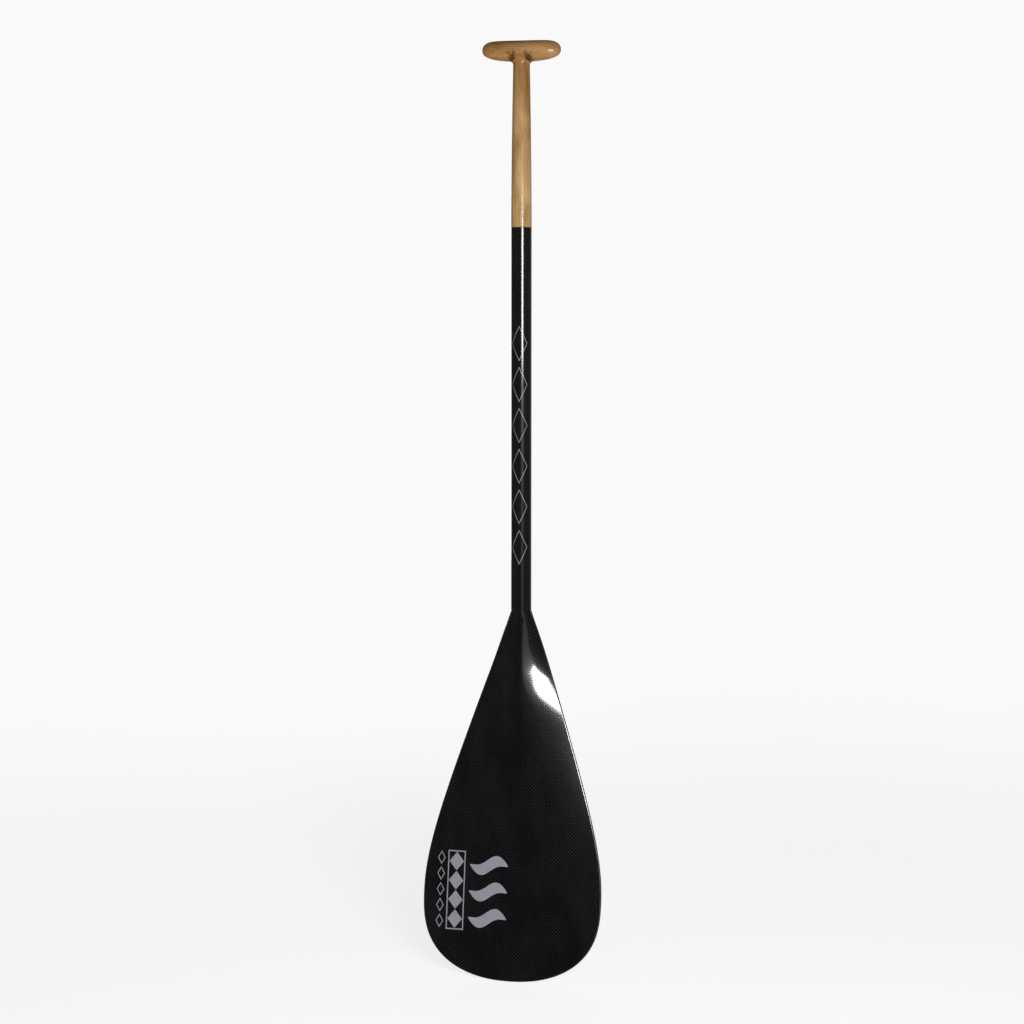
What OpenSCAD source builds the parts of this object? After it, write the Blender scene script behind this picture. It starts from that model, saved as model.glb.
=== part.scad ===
// Single blade canoe paddle: a wooden palm grip and handle on a carbon tube,
// with a foam-cored carbon blade bent forward at its neck.
// The origin is on the shaft axis at the middle of the carbon tube. +Z points to the grip,
// the ridged back of the blade faces -Y and the flat power face faces +Y.

/* [Shaft tube] */
// Length of the carbon tube that shows between handle and blade
tube_len = 522; // [400:1:600]
// Outside diameter of the carbon tube
tube_d = 27.8; // [26:0.1:30]
// Wall thickness of the carbon tube
tube_wall = 1.6; // [1.2:0.1:2.5]

/* [Wooden handle] */
// Length of the handle stem from the tube's end to the underside of the grip
stem_len = 220; // [150:1:260]
// Diameter of the stem where it meets the tube
stem_low_d = 27.88; // [26:0.01:30]
// Diameter of the stem where it enters the grip
stem_top_d = 22.4; // [19:0.1:24]
// How late the stem swells towards the tube: 1 is a straight taper
stem_swell = 1.6; // [1:0.1:2.5]
// Length of the turned spigot glued into the tube
spigot_len = 60; // [40:1:90]
// Thickness of the glue lines
glue_t = 0.15; // [0.1:0.01:0.3]

/* [Palm grip] */
// Width of the grip, end to end
grip_w = 108; // [95:1:125]
// Height of the grip from underside to top
grip_h = 28; // [25:0.5:36]
// Depth of the grip, front to back
grip_depth = 27; // [25:0.5:34]
// Height of the grip's fullest line below its top
grip_round_down = 12.5; // [10:0.5:14]
// Depth of the socket that takes the stem's full diameter
socket_depth = 15; // [10:0.5:17]
// Diameter of the tenon above the socket
tenon_d = 14; // [10:0.5:16]
// Length of the tenon above the socket
tenon_len = 7; // [4:0.5:8]

/* [Blade] */
// Length of the blade from the tube's end to the tip, along the shaft axis
blade_len = 500; // [420:1:540]
// Greatest width of the blade
blade_w = 248.4; // [210:0.1:270]
// Height of the widest line above the tip
wide_up = 115; // [90:1:150]
// Roundness of the long shoulders between the straight flare and the widest line
shoulder = 32; // [20:1:60]
// Squareness of the tip across the blade
tip_square = 2.18; // [1.8:0.01:2.6]
// Squareness of the tip's corners along the blade
tip_corner = 2.75; // [2:0.01:3.2]
// Forward bend of the blade against the shaft, in degrees
bend = 10.3; // [5:0.1:14]
// Length of the bend, from the neck down
bend_len = 85; // [60:1:140]
// How far the blade's rim lies behind the bent shaft line
rim_back = 4; // [0:0.5:6]
// Thickness of the rim
rim_t = 3.5; // [2.5:0.1:5]
// Height of the ridge above the rim at the end of the shoulders
ridge_high = 9; // [7:0.1:11]
// Distance below the neck at which the ridge starts to fall
ridge_from = 67; // [40:1:90]
// Distance below the neck at which the shoulders end
ridge_to = 168; // [140:1:220]
// Sharpness of the ridge between the shoulders: 2 is a round crown, 1 is a roof
ridge_sharp = 1.2; // [1.1:0.05:2]
// Height of the back's crown above the rim on the lower blade
crown = 7; // [3:0.1:7]
// Distance below the neck at which the crown reaches that height
crown_to = 380; // [300:1:380]
// Height of the power face's crown above the rim
face_crown = 0.8; // [0.3:0.1:2]
// Thickness of each carbon skin
skin_t = 0.8; // [0.5:0.1:1]
// Width of the stringer between the core halves
stringer_w = 10; // [6:0.5:12]
// Length of the tang that is glued into the tube
tang_len = 70; // [50:1:90]
// Wall of the tang's carbon sleeve
tang_wall = 1.4; // [1:0.1:2]

/* [Printed marks] */
// Thickness of the printed film
film_t = 0.05; // [0.03:0.01:0.05]
// Width of the outline strokes on the tube
stroke = 0.9; // [0.6:0.1:1.5]
// Number of outlined diamonds on the tube
tube_marks = 6; // [2:1:7]
// Spacing of the diamonds along the tube
tube_mark_pitch = 55.5; // [52:0.5:57]
// Length of each diamond on the tube
tube_mark_len = 48; // [30:1:50]
// Width of each diamond, measured round the tube
tube_mark_w = 23; // [14:0.5:24]
// Height of the diamonds' middle above the middle of the tube
tube_mark_z = -34; // [-60:1:10]
// Height of the blade marks' middle above the tip
mark_up = 118; // [100:1:140]
// Height of the block of blade marks
mark_h = 106; // [80:1:112]

/* [Hidden] */
$fn = 96;

tube_r = tube_d / 2;
bore_r = tube_r - tube_wall;
spigot_r = bore_r - glue_t;
tang_foam_r = spigot_r - tang_wall;
joint_z = tube_len / 2;
neck_z = -tube_len / 2;
grip_z = joint_z + stem_len;

// The blade's surfaces are grids of stations (rows) and columns.
STATIONS_UP = 26;      // stations from the neck to the widest line
STATIONS_TIP = 15;     // stations from the widest line to the tip
SIDE_COLUMNS = 8;      // columns on each side of the stringer
RIM_STEPS = 6;         // flats round the half-round rim
THIN_RIM = 0.3;        // half thickness of the rim where it dies into the neck
FILM_LIFT = 0.03;      // gap that keeps a film clear of the curved surface under it
TIP_FADE = 150;        // height above the tip at which the crown starts to fall
RIM_GROWS = 60;        // length from the neck over which the rim reaches its full thickness
BACK_FLATTENS = 60;    // length over which the back's section stops being round at the rim
FACE_FLATTENS = 90;    // the same for the power face
SHARPEST = 103;        // distance below the neck at which the ridge is sharpest
ROUND_AGAIN = 270;     // distance below the neck at which the back is a plain crown
RIDGE_BLUNT = 0.12;    // rounding of the ridge's edge, as a share of the half width
FLARE = sqrt(pow(blade_w / 2 + shoulder - tube_r, 2) - pow(shoulder, 2))
        / (blade_len - wide_up);

function smooth(u) = u <= 0 ? 0 : u >= 1 ? 1 : u * u * (3 - 2 * u);
function smooth_area(u) = u <= 0 ? 0 : u >= 1 ? u - 0.5 : pow(u, 3) - pow(u, 4) / 2;
function mix(a, b, f) = a + (b - a) * f;

// Centreline of the blade. d is the distance below the neck along the shaft axis.
function lean(d) = atan(tan(bend) * smooth(d / bend_len));
function centre_y(d) = -tan(bend) * bend_len * smooth_area(d / bend_len);

// A point of the blade: t across, h in front of the bent centre plane.
function blade_point(d, t, h) =
    [t, centre_y(d) - h * cos(lean(d)), neck_z - d + h * sin(lean(d))];

// Half width of the blade at height z above the tip, drawn in by inset.
function half_width(z, inset = 0) =
    z >= wide_up
    ? blade_w / 2 - inset + shoulder - sqrt(pow(shoulder, 2) + pow(FLARE * (z - wide_up), 2))
    : (blade_w / 2 - inset)
      * pow(1 - pow((wide_up - z) / (wide_up - inset), tip_corner), 1 / tip_square);

function rim_half(d) = max(THIN_RIM, rim_t / 2 * smooth(d / RIM_GROWS));
function rim_h(d) = -rim_back * smooth(d / bend_len);
function inner_half(d) = half_width(blade_len - d, rim_half(d));
function tip_fade(d) =
    let (z = blade_len - d)
    z >= TIP_FADE ? 1 : pow(1 - pow(1 - z / TIP_FADE, 3), 0.8);

// Heights of the outer surfaces in front of the centre plane, from round tube to thin lens.
// The back keeps a ridge between its shoulders. The power face is nearly flat.
function bulge(d, t) = max(0, 1 - pow(t / inner_half(d), 2));
function stage(d, from, to) = smooth((d - from) / (to - from));
function back_rise(d) = tip_fade(d)
    * (mix(tube_r - THIN_RIM, ridge_high, stage(d, ridge_from, ridge_to))
       - (ridge_high - crown) * stage(d, ridge_to, crown_to));
function ridge_power(d) =
    mix(2, ridge_sharp, stage(d, 0, SHARPEST) * (1 - stage(d, SHARPEST, ROUND_AGAIN)));
function blunt(u, power) = pow(u * u + pow(RIDGE_BLUNT, 2), power / 2) - pow(RIDGE_BLUNT, power);
function roof(d, t) =
    let (u = min(1, abs(t) / inner_half(d)), power = ridge_power(d))
    1 - blunt(u, power) / blunt(1, power);
function back_h(d, t) =
    rim_h(d) + rim_half(d)
    + back_rise(d) * pow(max(0, roof(d, t)), 0.5 + 0.5 * stage(d, 0, BACK_FLATTENS));
function face_rise(d) =
    mix(tube_r - THIN_RIM, face_crown, smooth(d / FACE_FLATTENS)) * tip_fade(d);
function face_h(d, t) =
    rim_h(d) - rim_half(d) - face_rise(d) * pow(bulge(d, t), 0.5 + 0.5 * smooth(d / FACE_FLATTENS));

// The skins thin out towards the rim, so the core keeps some height there.
function back_inner_h(d, t) =
    back_h(d, t) - min(skin_t, 0.6 * (back_h(d, t) - rim_h(d)));
function face_inner_h(d, t) =
    face_h(d, t) + min(skin_t, 0.6 * (rim_h(d) - face_h(d, t)));

TIP_START = rim_t / 2;
STATION_D = concat(
    [for (i = [0:STATIONS_UP]) (blade_len - wide_up) * pow(i / STATIONS_UP, 1.15)],
    [for (i = [STATIONS_TIP - 1:-1:1])
        blade_len - mix(TIP_START, wide_up, pow(i / STATIONS_TIP, 2))]
);
LAST = len(STATION_D) - 1;

function stringer_half(d) = min(stringer_w / 2, inner_half(d) * 0.4);
function column_t(d, c) =
    c == 0 ? 0
    : sign(c) * mix(stringer_half(d), inner_half(d), sin(90 * (abs(c) - 1) / SIDE_COLUMNS));
OUTER = SIDE_COLUMNS + 1;

function side_h(side, d, t) =
    side == "back" ? back_h(d, t)
    : side == "back_inner" ? back_inner_h(d, t)
    : side == "face_inner" ? face_inner_h(d, t)
    : face_h(d, t);
function sheet(side, first, last) =
    [for (d = STATION_D) [for (c = [first:last])
        let (t = column_t(d, c)) blade_point(d, t, side_h(side, d, t))]];

function joined(lists) = [for (l = lists) each l];
function quad(a, b, c, d) = [[a, b, c], [a, c, d]];

// A closed slab between two grids of points: front faces -Y, rows run down, columns to +X.
module slab(front, back) {
    rows = len(front);
    cols = len(front[0]);
    f = function (r, c) r * cols + c;
    b = function (r, c) rows * cols + r * cols + c;
    last_r = rows - 1;
    last_c = cols - 1;
    sheets = [for (r = [0:last_r - 1]) for (c = [0:last_c - 1]) each concat(
        quad(f(r, c), f(r, c + 1), f(r + 1, c + 1), f(r + 1, c)),
        quad(b(r, c), b(r + 1, c), b(r + 1, c + 1), b(r, c + 1)))];
    ends = [for (c = [0:last_c - 1]) each concat(
        quad(f(0, c), b(0, c), b(0, c + 1), f(0, c + 1)),
        quad(f(last_r, c), f(last_r, c + 1), b(last_r, c + 1), b(last_r, c)))];
    sides = [for (r = [0:last_r - 1]) each concat(
        quad(f(r, 0), f(r + 1, 0), b(r + 1, 0), b(r, 0)),
        quad(f(r, last_c), b(r, last_c), b(r + 1, last_c), f(r + 1, last_c)))];
    polyhedron(concat(joined(front), joined(back)), concat(sheets, ends, sides));
}

// A closed tube of rings, each a list of points, with flat ends or joined into a loop.
module swept(rings, loop = false) {
    count = len(rings);
    n = len(rings[0]);
    p = function (i, j) (i % count) * n + j % n;
    walls = [for (i = [0:loop ? count - 1 : count - 2]) for (j = [0:n - 1])
        each quad(p(i, j), p(i, j + 1), p(i + 1, j + 1), p(i + 1, j))];
    ends = loop ? [] : [[for (j = [n - 1:-1:0]) j], [for (j = [0:n - 1]) p(count - 1, j)]];
    polyhedron(joined(rings), concat(walls, ends));
}

// Palm grip: a rounded bar, nearly flat on top and bellied below.
function grip_top(x) = grip_round_down * pow(1 - pow(abs(x), 7), 1 / 2);
function grip_low(x) = (grip_h - grip_round_down) * pow(1 - pow(abs(x), 2.5), 1 / 2.6);
function grip_half_depth(x) = grip_depth / 2 * pow(1 - pow(abs(x), 3.4), 1 / 2.2);
function grip_ring(x) = [for (a = [0:10:350])
    let (c = cos(a), s = sin(a), rise = s >= 0 ? grip_top(x) : grip_low(x))
    [x * grip_w / 2,
     -grip_half_depth(x) * sign(c) * pow(abs(c), 0.9),
     grip_z + grip_h - grip_round_down + rise * sign(s) * pow(abs(s), 0.9)]];

module palm_grip() {
    color("peru") difference() {
        swept([for (a = [86:-5:-86]) grip_ring(-sin(a))]);
        translate([0, 0, grip_z - 1]) cylinder(h = socket_depth + 1, d = stem_top_d);
        translate([0, 0, grip_z]) cylinder(h = socket_depth + tenon_len, d = tenon_d);
    }
}

// Turned stem with its spigot below and its tenon above.
function stem_r(z) =
    mix(stem_low_d, stem_top_d, pow(z / stem_len, stem_swell)) / 2;

module handle_stem() {
    steps = 14;
    color("burlywood") translate([0, 0, joint_z]) rotate_extrude() polygon(concat(
        [[0, -spigot_len], [spigot_r, -spigot_len], [spigot_r, 0]],
        [for (i = [0:steps]) [stem_r(stem_len * i / steps), stem_len * i / steps]],
        [[stem_top_d / 2, stem_len + socket_depth],
         [tenon_d / 2, stem_len + socket_depth],
         [tenon_d / 2, stem_len + socket_depth + tenon_len],
         [0, stem_len + socket_depth + tenon_len]]));
}

module pipe(h, outer_r, inner_r) {
    difference() {
        cylinder(h = h, r = outer_r);
        translate([0, 0, -1]) cylinder(h = h + 2, r = inner_r);
    }
}

module stem_bond() {
    color("khaki") translate([0, 0, joint_z - spigot_len]) pipe(spigot_len, bore_r, spigot_r);
}

module shaft_tube() {
    color("dimgray") translate([0, 0, neck_z]) pipe(tube_len, tube_r, bore_r);
}

module tang_bond() {
    color("khaki") translate([0, 0, neck_z]) pipe(tang_len, bore_r, spigot_r);
}

module tang_sleeve() {
    color("black") translate([0, 0, neck_z]) pipe(tang_len, spigot_r, tang_foam_r);
}

// Depth of the stringer's bar inside the round tang, just short of the sleeve.
BAR_GAP = 0.4;
STRINGER_BAR = 2 * sqrt(pow(tang_foam_r, 2) - pow(stringer_w / 2, 2)) - BAR_GAP;

module tang_foam() {
    color("ivory") translate([0, 0, neck_z]) difference() {
        cylinder(h = tang_len, r = tang_foam_r);
        translate([-stringer_w / 2, -STRINGER_BAR / 2, -1])
            cube([stringer_w, STRINGER_BAR, tang_len + 2]);
    }
}

module stringer() {
    bar = function (z, side) [for (c = [-1:1]) [c * stringer_w / 2, side * STRINGER_BAR / 2, z]];
    color("burlywood") {
        slab([bar(neck_z + tang_len, -1), bar(neck_z, -1)],
             [bar(neck_z + tang_len, 1), bar(neck_z, 1)]);
        slab(sheet("back_inner", -1, 1), sheet("face_inner", -1, 1));
    }
}

module core_left() {
    color("ivory") slab(sheet("back_inner", -OUTER, -1), sheet("face_inner", -OUTER, -1));
}

module core_right() {
    color("ivory") slab(sheet("back_inner", 1, OUTER), sheet("face_inner", 1, OUTER));
}

module back_skin() {
    color("#1c1c20") slab(sheet("back", -OUTER, OUTER), sheet("back_inner", -OUTER, OUTER));
}

module power_face_skin() {
    color("#232328") slab(sheet("face_inner", -OUTER, OUTER), sheet("face", -OUTER, OUTER));
}

// The rim follows the edge of the grid: down the left side, round the tip and up the right.
RIM_PATH = concat(
    [for (k = [1:LAST]) [STATION_D[k], column_t(STATION_D[k], -OUTER)]],
    [for (c = [1 - OUTER:OUTER - 1]) [STATION_D[LAST], column_t(STATION_D[LAST], c)]],
    [for (k = [LAST:-1:1]) [STATION_D[k], column_t(STATION_D[k], OUTER)]]
);

function rim_ring(i) =
    let (p = RIM_PATH[i],
         along = RIM_PATH[min(i + 1, len(RIM_PATH) - 1)] - RIM_PATH[max(i - 1, 0)],
         out = [along[1], -along[0]] / norm(along),
         e = rim_half(p[0]))
    [for (j = [0:RIM_STEPS])
        let (a = -90 + 180 * j / RIM_STEPS)
        blade_point(p[0] + out[0] * e * cos(a), p[1] + out[1] * e * cos(a),
                    rim_h(p[0]) + e * sin(a))];

module edge_rail() {
    color("#101014") swept([for (i = [0:len(RIM_PATH) - 1]) rim_ring(i)]);
}

// Printed marks. A mark is drawn in flat coordinates: [across, down], and laid on a surface.
function on_tube(p, h) =
    let (r = tube_r + FILM_LIFT + h, a = p[0] / tube_r * 180 / PI)
    [r * sin(a), -r * cos(a), -p[1]];
function on_blade(p, h) =
    blade_point(p[1], p[0], back_h(p[1], p[0]) + FILM_LIFT + h);

// A film between two edges, lists of flat points: the left edge and the right edge.
module film(left, right, lay) {
    layer = function (h) [for (i = [0:len(left) - 1]) [lay(left[i], h), lay(right[i], h)]];
    slab(layer(film_t), layer(0));
}

// A closed line of a given width between an outer and an inner outline, both clockwise.
module outline_film(outer, inner, lay) {
    swept([for (i = [0:len(outer) - 1])
        [lay(inner[i], film_t), lay(outer[i], film_t), lay(outer[i], 0), lay(inner[i], 0)]],
        loop = true);
}

// Points of a closed outline, with each side cut into equal steps.
function stepped(corners, steps) =
    [for (i = [0:len(corners) - 1]) for (s = [0:steps - 1])
        mix(corners[i], corners[(i + 1) % len(corners)], s / steps)];

function diamond(w, h) = [[0, -h / 2], [w / 2, 0], [0, h / 2], [-w / 2, 0]];
function box_corners(w, h) =
    [[-w / 2, -h / 2], [w / 2, -h / 2], [w / 2, h / 2], [-w / 2, h / 2]];
function moved(points, by) = [for (p = points) p + by];

module diamond_line(w, h, line, at, steps, lay) {
    // the same line width on all four sides needs both diagonals cut by these amounts
    slant = norm([w, h]);
    outline_film(moved(stepped(diamond(w, h), steps), at),
                 moved(stepped(diamond(w - 2 * line * slant / h, h - 2 * line * slant / w),
                               steps), at), lay);
}

module tube_marks_film() {
    color("silver") for (i = [0:tube_marks - 1])
        diamond_line(tube_mark_w, tube_mark_len, stroke,
                     [0, -tube_mark_z + (i - (tube_marks - 1) / 2) * tube_mark_pitch],
                     8, function (p, h) on_tube(p, h));
}

// The blade's marks sit side by side in one block: small diamonds, a framed bar, ripples.
BLADE_MARK_D = blade_len - mark_up;
BLUNT = 0.15;          // half width of a mark where it comes to a point

SMALL_DIAMONDS = 5;
SMALL_W = 11;
SMALL_GAP = 3;         // gap between one small diamond and the next
SMALL_LINE = 1.1;
SMALL_T = -100;        // the column's place across the blade

module blade_diamonds_film() {
    pitch = mark_h / SMALL_DIAMONDS;
    color("silver") for (i = [0:SMALL_DIAMONDS - 1])
        diamond_line(SMALL_W, pitch - SMALL_GAP, SMALL_LINE,
                     [SMALL_T, BLADE_MARK_D + (i - (SMALL_DIAMONDS - 1) / 2) * pitch],
                     4, function (p, h) on_blade(p, h));
}

BAR_W = 25;
BAR_T = -78;
BAR_LINE = 1.6;
BAR_DIAMONDS = 4;
BAR_MARGIN = 0.6;      // gap between a solid diamond and the bar's frame

module blade_bar_film() {
    pitch = (mark_h - 2 * BAR_LINE) / BAR_DIAMONDS;
    lay = function (p, h) on_blade(p, h);
    middle = [BAR_T, BLADE_MARK_D];
    color("silver") {
        outline_film(moved(stepped(box_corners(BAR_W, mark_h), 6), middle),
                     moved(stepped(box_corners(BAR_W - 2 * BAR_LINE, mark_h - 2 * BAR_LINE), 6),
                           middle), lay);
        for (i = [0:BAR_DIAMONDS - 1]) {
            at = middle + [0, (i - (BAR_DIAMONDS - 1) / 2) * pitch];
            half_w = BAR_W / 2 - BAR_LINE - BAR_MARGIN;
            half_h = pitch / 2 - BAR_MARGIN;
            rows = [for (s = [-1:0.25:1]) [s * half_h, half_w * (1 - abs(s)) + BLUNT]];
            film([for (r = rows) at + [-r[1], r[0]]], [for (r = rows) at + [r[1], r[0]]], lay);
        }
    }
}

// Three solid ripples, each a stretched S that comes to a point at both ends.
WAVES = 3;
WAVE_LEN = 54;
WAVE_THICK = 17;
WAVE_RISE = 6;
WAVE_T = -32;

module blade_waves_film() {
    lay = function (p, h) on_blade(p, h);
    color("silver") for (i = [0:WAVES - 1]) {
        at = [WAVE_T, BLADE_MARK_D + (i - (WAVES - 1) / 2) * mark_h / WAVES];
        line = [for (s = [-1:0.125:1])
            [s * WAVE_LEN / 2, -WAVE_RISE * sin(180 * s),
             WAVE_THICK / 2 * pow(1 - s * s, 0.8) + BLUNT]];
        film([for (w = line) at + [w[0], w[1] + w[2]]],
             [for (w = line) at + [w[0], w[1] - w[2]]], lay);
    }
}

palm_grip();
handle_stem();
stem_bond();
shaft_tube();
tang_bond();
tang_sleeve();
tang_foam();
stringer();
core_left();
core_right();
back_skin();
power_face_skin();
edge_rail();
tube_marks_film();
blade_diamonds_film();
blade_bar_film();
blade_waves_film();
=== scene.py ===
"""Looks of the single blade canoe paddle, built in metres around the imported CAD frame."""

import math

import bmesh
import bpy
import numpy as np
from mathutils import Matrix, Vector


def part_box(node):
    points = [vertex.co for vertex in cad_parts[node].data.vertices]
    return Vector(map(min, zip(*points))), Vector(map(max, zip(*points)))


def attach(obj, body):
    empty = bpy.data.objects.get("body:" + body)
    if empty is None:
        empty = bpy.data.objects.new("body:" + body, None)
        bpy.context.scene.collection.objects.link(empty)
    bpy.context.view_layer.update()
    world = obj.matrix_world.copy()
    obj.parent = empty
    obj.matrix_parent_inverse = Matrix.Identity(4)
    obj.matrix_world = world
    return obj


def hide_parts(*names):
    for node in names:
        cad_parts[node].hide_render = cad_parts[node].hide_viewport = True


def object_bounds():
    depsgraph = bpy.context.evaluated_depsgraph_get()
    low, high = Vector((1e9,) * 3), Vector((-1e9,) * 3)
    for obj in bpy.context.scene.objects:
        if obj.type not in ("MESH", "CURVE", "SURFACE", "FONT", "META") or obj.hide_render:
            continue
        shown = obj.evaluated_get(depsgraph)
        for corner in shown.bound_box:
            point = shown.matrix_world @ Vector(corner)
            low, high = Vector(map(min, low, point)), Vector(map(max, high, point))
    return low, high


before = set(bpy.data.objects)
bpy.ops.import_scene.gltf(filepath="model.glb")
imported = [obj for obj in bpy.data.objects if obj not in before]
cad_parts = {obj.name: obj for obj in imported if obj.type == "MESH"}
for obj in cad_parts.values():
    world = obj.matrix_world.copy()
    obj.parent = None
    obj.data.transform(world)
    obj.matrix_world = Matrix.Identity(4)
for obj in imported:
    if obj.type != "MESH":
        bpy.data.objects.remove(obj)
cad_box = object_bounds()
MM = 0.001


def span(node):
    """The lowest and highest corners of a CAD node, in millimetres."""
    low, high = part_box(node)
    return np.array(low) / MM, np.array(high) / MM


# ---------------------------------------------------------------- sizes, in millimetres
tube_low, tube_high = span("shaft_tube")
grip_low_corner, grip_high_corner = span("palm_grip")
rail_low, rail_high = span("edge_rail")
stem_low_corner, stem_high_corner = span("handle_stem")

TUBE_R = tube_high[0]
NECK_Z = tube_low[2]
JOINT_Z = tube_high[2]
TIP_Z = rail_low[2]
BLADE_LEN = NECK_Z - TIP_Z
BLADE_W = rail_high[0] - rail_low[0]
GRIP_W = grip_high_corner[0] - grip_low_corner[0]
GRIP_TOP = grip_high_corner[2]
GRIP_UNDER = grip_low_corner[2]
STEM_LEN = GRIP_UNDER - JOINT_Z

TUBE_WALL = 1.6
GLUE_T = 0.15
SPIGOT_R = TUBE_R - TUBE_WALL - GLUE_T
STEM_LOW_R = stem_high_corner[0]
STEM_TOP_R = 11.2
STEM_SWELL = 1.6
SOCKET_DEPTH = 15.0
TENON_R = 7.0
GRIP_ROUND_DOWN = 12.5
GRIP_HALF_DEPTH = grip_high_corner[1]

WIDE_UP = 115.0
SHOULDER = 32.0
TIP_SQUARE = 2.18
TIP_CORNER = 2.75
BEND = math.radians(10.3)
BEND_LEN = 85.0
RIM_BACK = 4.0
RIM_T = 3.5
THIN_RIM = 0.3
RIM_GROWS = 60.0
BACK_FLATTENS = 60.0
FACE_FLATTENS = 90.0
RIDGE_HIGH = 9.0
RIDGE_FROM = 67.0
RIDGE_TO = 168.0
RIDGE_SHARP = 1.2
SHARPEST = 103.0
ROUND_AGAIN = 270.0
RIDGE_BLUNT = 0.12
CROWN = 7.0
CROWN_TO = 380.0
FACE_CROWN = 0.8
TIP_FADE = 150.0
SKIN_T = 0.8
SKIN_SHARE = 0.6
NOTHING = 1e-6
FLARE = math.sqrt((BLADE_W / 2 + SHOULDER - TUBE_R) ** 2 - SHOULDER ** 2) / (BLADE_LEN - WIDE_UP)


# ---------------------------------------------------------------- the blade's surfaces
# d is the distance below the neck, t the place across, h the height towards the ridged back,
# all in millimetres.
def smooth(u):
    u = np.clip(u, 0, 1)
    return u * u * (3 - 2 * u)


def smooth_area(u):
    c = np.clip(u, 0, 1)
    return c ** 3 - c ** 4 / 2 + np.maximum(u - 1, 0)


def mix(a, b, f):
    return a + (b - a) * f


def blade_point(d, t, h):
    """The point of the bent blade at the depth d, across by t and raised by h."""
    lean = np.arctan(math.tan(BEND) * smooth(d / BEND_LEN))
    centre_y = -math.tan(BEND) * BEND_LEN * smooth_area(d / BEND_LEN)
    point = (t + 0 * d, centre_y - h * np.cos(lean), NECK_Z - d + h * np.sin(lean))
    return np.stack(np.broadcast_arrays(*point), -1)


def half_width(z, inset):
    """Half the outline's width at the height z above the tip, drawn in by an inset."""
    flare = BLADE_W / 2 - inset + SHOULDER - np.sqrt(
        SHOULDER ** 2 + (FLARE * np.maximum(z - WIDE_UP, 0)) ** 2)
    down = np.clip((WIDE_UP - z) / (WIDE_UP - inset), 0, 1)
    tip = (BLADE_W / 2 - inset) * (1 - down ** TIP_CORNER) ** (1 / TIP_SQUARE)
    return np.where(z >= WIDE_UP, flare, tip)


def rim_half(d):
    return np.maximum(THIN_RIM, RIM_T / 2 * smooth(d / RIM_GROWS))


def rim_h(d):
    return -RIM_BACK * smooth(d / BEND_LEN)


def inner_half(d):
    return half_width(BLADE_LEN - d, rim_half(d))


def tip_fade(d):
    """How much of its full height the crown keeps near the tip."""
    up = np.clip((BLADE_LEN - d) / TIP_FADE, 0, 1)
    return (1 - (1 - up) ** 3) ** 0.8


def share_across(d, t):
    return np.abs(t) / np.maximum(inner_half(d), NOTHING)


def bulge(d, t):
    return np.maximum(0, 1 - share_across(d, t) ** 2)


def stage(d, start, end):
    return smooth((d - start) / (end - start))


def blunt(u, power):
    return (u * u + RIDGE_BLUNT ** 2) ** (power / 2) - RIDGE_BLUNT ** power


def roof(d, t):
    """The back's section, from a round crown at the neck to a blunt ridge and round again."""
    power = mix(2, RIDGE_SHARP, stage(d, 0, SHARPEST) * (1 - stage(d, SHARPEST, ROUND_AGAIN)))
    u = np.minimum(1, share_across(d, t))
    return np.maximum(0, 1 - blunt(u, power) / blunt(1, power))


def back_h(d, t):
    rise = tip_fade(d) * (mix(TUBE_R - THIN_RIM, RIDGE_HIGH, stage(d, RIDGE_FROM, RIDGE_TO))
                          - (RIDGE_HIGH - CROWN) * stage(d, RIDGE_TO, CROWN_TO))
    power = 0.5 + 0.5 * stage(d, 0, BACK_FLATTENS)
    return rim_h(d) + rim_half(d) + rise * roof(d, t) ** power


def face_h(d, t):
    rise = mix(TUBE_R - THIN_RIM, FACE_CROWN, smooth(d / FACE_FLATTENS)) * tip_fade(d)
    power = 0.5 + 0.5 * smooth(d / FACE_FLATTENS)
    return rim_h(d) - rim_half(d) - rise * bulge(d, t) ** power


def back_inner_h(d, t):
    return back_h(d, t) - np.minimum(SKIN_T, SKIN_SHARE * (back_h(d, t) - rim_h(d)))


def face_inner_h(d, t):
    return face_h(d, t) + np.minimum(SKIN_T, SKIN_SHARE * (rim_h(d) - face_h(d, t)))


# rows of the blade's grids lie closer at the neck and at the tip, columns closer at the rim
ROWS_UP, ROWS_TIP, COLUMNS, RIM_STEPS = 150, 60, 96, 14
STATIONS = np.concatenate([
    (BLADE_LEN - WIDE_UP) * (np.arange(ROWS_UP + 1) / ROWS_UP) ** 1.15,
    BLADE_LEN - mix(RIM_T / 2, WIDE_UP, (np.arange(ROWS_TIP - 1, 0, -1) / ROWS_TIP) ** 2),
])
ACROSS = np.sin(np.linspace(-math.pi / 2, math.pi / 2, COLUMNS + 1))


# ---------------------------------------------------------------- mesh builders
def piece(name, points, faces, material, slot, node, sharp=35):
    """A smooth-shaded mesh piece that stands for one CAD node. Points are in millimetres."""
    mesh = bpy.data.meshes.new(name)
    mesh.from_pydata((np.asarray(points, float) * MM).tolist(), [], faces)
    mesh.validate()
    # every face turns outward
    solid = bmesh.new()
    solid.from_mesh(mesh)
    bmesh.ops.recalc_face_normals(solid, faces=solid.faces)
    solid.to_mesh(mesh)
    solid.free()
    mesh.shade_smooth()
    mesh.set_sharp_from_angle(angle=math.radians(sharp))
    mesh.materials.append(material)
    obj = bpy.data.objects.new(name, mesh)
    bpy.context.scene.collection.objects.link(obj)
    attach(obj, "root")
    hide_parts(node)
    return obj


def grid_faces(rows, cols, start=0, loop=False, flip=False):
    """Quads between the rows of a grid of points. With loop, each row is a closed ring."""
    faces = []
    for r in range(rows - 1):
        for c in range(cols if loop else cols - 1):
            a, b = start + r * cols + c, start + r * cols + (c + 1) % cols
            quad = (a, b, b + cols, a + cols)
            faces.append(quad[::-1] if flip else quad)
    return faces


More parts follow.
